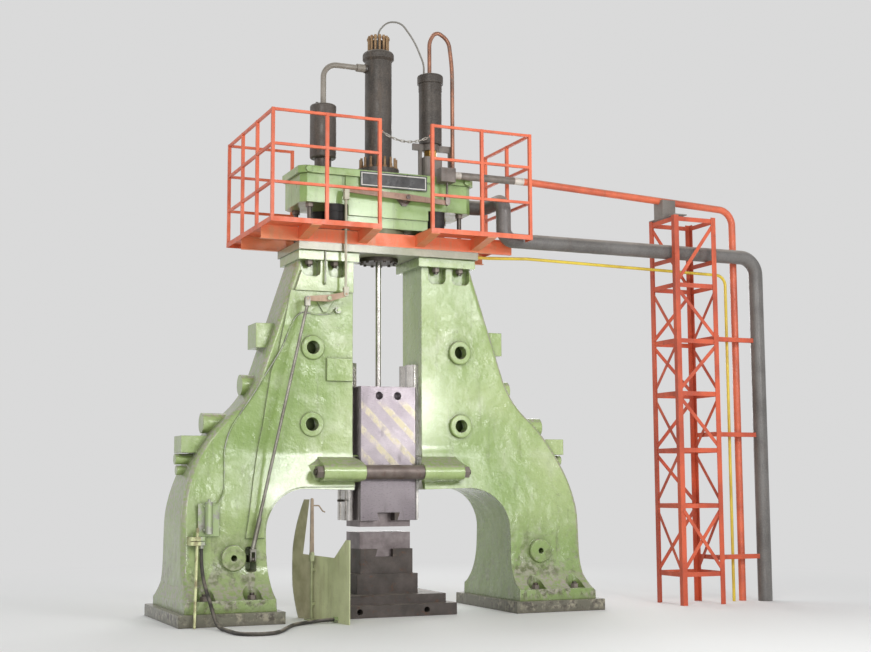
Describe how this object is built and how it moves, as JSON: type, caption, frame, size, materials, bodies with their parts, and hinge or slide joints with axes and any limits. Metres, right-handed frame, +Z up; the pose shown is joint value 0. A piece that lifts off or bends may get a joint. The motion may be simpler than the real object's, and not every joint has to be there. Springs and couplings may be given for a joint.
{
  "type": "hydraulic forging hammer",
  "caption": "Arch-frame hydraulic forging hammer with a guided ram over an anvil, a railed platform, gas cylinder, accumulators, valve linkage and a pipe tower at its side.",
  "frame": {"origin": "on the floor under the ram's axis, midway between the two columns, in the middle of the anvil's underside", "axes": "+X to the right seen from the operator's side, +Y away from the operator, +Z up"},
  "size_m": [6.8048, 2.5657, 6.3458],
  "materials": {
    "column_paint": "yellow-green machine paint, dusty, chipped at the edges",
    "head_paint": "brighter green paint with oil and dust",
    "sole_steel": "dark oily casting covered in scale",
    "anvil_iron": "dark casting with scale and dust",
    "dark_steel": "black oiled steel",
    "bright_steel": "ground steel",
    "die_steel": "machined die steel with heat tint",
    "tie_steel": "brown-grey primer, rubbed",
    "rod_steel": "drawn steel tube, oily and dusty",
    "slab_paint": "green-grey paint under thick dust",
    "fitting_steel": "zinc and pale green overspray",
    "bronze": "bearing bronze",
    "ram_paint": "ground steel with faded yellow slanting stripes",
    "accumulator_steel": "dark grey paint, satin",
    "rusty_steel": "bare steel with rust",
    "brass": "dull brass",
    "copper": "copper tube, tarnished",
    "rubber": "black rubber",
    "plate": "black plate with a plain pale border",
    "orange_paint": "orange platform paint, dusty",
    "grey_steel": "grey primer, dusty",
    "chain_steel": "zinc chain",
    "white_paint": "white paint, dusty",
    "primer": "pinkish red primer",
    "guard_paint": "pale green sheet with rust and dust",
    "tower_paint": "orange-red paint with rust",
    "pressure_paint": "orange-red pipe paint",
    "return_paint": "grey pipe paint, dusty",
    "yellow_paint": "yellow pipe paint",
    "hose_rubber": "black hose"
  },
  "bodies": {
    "frame": {"right_column": "column_paint", "left_column": "column_paint", "sole_plates": "sole_steel", "frame_studs": "dark_steel", "frame_nuts": "rusty_steel", "tie_rods": "dark_steel", "spacer_tubes": "tie_steel", "bed_slab": "slab_paint", "gland_housing": "dark_steel", "gland_bush": "bronze", "left_guide": "bright_steel", "right_guide": "bright_steel", "frame_bolts": "dark_steel", "lower_die": "die_steel", "lower_die_key": "dark_steel", "sow_block": "anvil_iron", "anvil": "anvil_iron", "cylinder_block": "head_paint", "cylinder_liner": "dark_steel", "head_body": "head_paint", "head_cover": "head_paint", "nameplate": "plate", "buffers": "rubber", "gas_cylinder": "accumulator_steel", "gas_cylinder_studs": "rusty_steel", "left_accumulator": "accumulator_steel", "right_accumulator": "accumulator_steel", "manifold": "grey_steel", "brass_fitting": "brass", "clamp_frame": "grey_steel", "transfer_pipe": "grey_steel", "copper_pipe": "copper", "gauge_pipe": "copper", "deck": "orange_paint", "deck_frame": "orange_paint", "railing": "orange_paint", "safety_chain": "chain_steel", "valve_block": "grey_steel", "linkage_brackets": "column_paint", "lever_post": "primer", "guard_plate": "guard_paint", "tower_lattice": "tower_paint", "tower_saddle": "grey_steel", "pressure_pipe": "pressure_paint", "return_pipe": "return_paint", "drain_pipe": "yellow_paint", "foot_fittings": "fitting_steel", "floor_hose": "hose_rubber"},
    "ram_unit": {"ram": "ram_paint", "piston_rod": "bright_steel", "piston": "bright_steel", "upper_die": "die_steel", "upper_die_key": "dark_steel"},
    "rocker": {"rocker_lever": "primer"},
    "valve_link": {"valve_rod": "white_paint"},
    "side_link": {"side_rod": "rod_steel"},
    "top_lever": {"head_lever": "primer"},
    "spool": {"spool_rod": "bright_steel"},
    "crank": {"lower_crank": "dark_steel"},
    "operator_lever": {"hand_lever": "primer"}
  },
  "joints": [
    {"name": "ram_slide", "type": "slide", "parent": "frame", "child": "ram_unit", "axis": [0, 0, 1], "range_m": [-0.0545, 1.2]},
    {"name": "rocker_pivot", "type": "hinge", "parent": "frame", "child": "rocker", "pos_m": [-0.695, -0.42, 3.193], "axis": [0, 1, 0], "range_deg": [-8, 8]},
    {"name": "valve_link_pivot", "type": "hinge", "parent": "rocker", "child": "valve_link", "pos_m": [-0.514, -0.42, 3.244], "axis": [0, 1, 0], "range_deg": [-8.6, 8.6]},
    {"name": "side_link_pivot", "type": "hinge", "parent": "rocker", "child": "side_link", "pos_m": [-0.924, -0.42, 3.18], "axis": [0, 1, 0], "range_deg": [-8.2, 8.2]},
    {"name": "top_lever_pivot", "type": "hinge", "parent": "frame", "child": "top_lever", "pos_m": [0.168, -0.42, 4.303], "axis": [0, 1, 0], "range_deg": [-2.3, 2.3]},
    {"name": "spool_slide", "type": "slide", "parent": "frame", "child": "spool", "axis": [0, 0, 1], "range_m": [-0.018, 0.018]},
    {"name": "crank_pivot", "type": "hinge", "parent": "frame", "child": "crank", "pos_m": [-1.486, -0.28, 0.6], "axis": [1, 0, 0], "range_deg": [-8.6, 8.6]},
    {"name": "hand_lever_pivot", "type": "hinge", "parent": "frame", "child": "operator_lever", "pos_m": [-0.874, -0.46, 0.64], "axis": [0, 1, 0], "range_deg": [-12, 12]}
  ],
  "couplings": [
    {"joint": "valve_link_pivot", "follows": "rocker_pivot", "ratio": -1.0539},
    {"joint": "side_link_pivot", "follows": "rocker_pivot", "ratio": -1},
    {"joint": "top_lever_pivot", "follows": "rocker_pivot", "ratio": -0.2666},
    {"joint": "spool_slide", "follows": "rocker_pivot", "m_per_rad": 0.121},
    {"joint": "crank_pivot", "follows": "rocker_pivot", "ratio": -1.041}
  ]
}
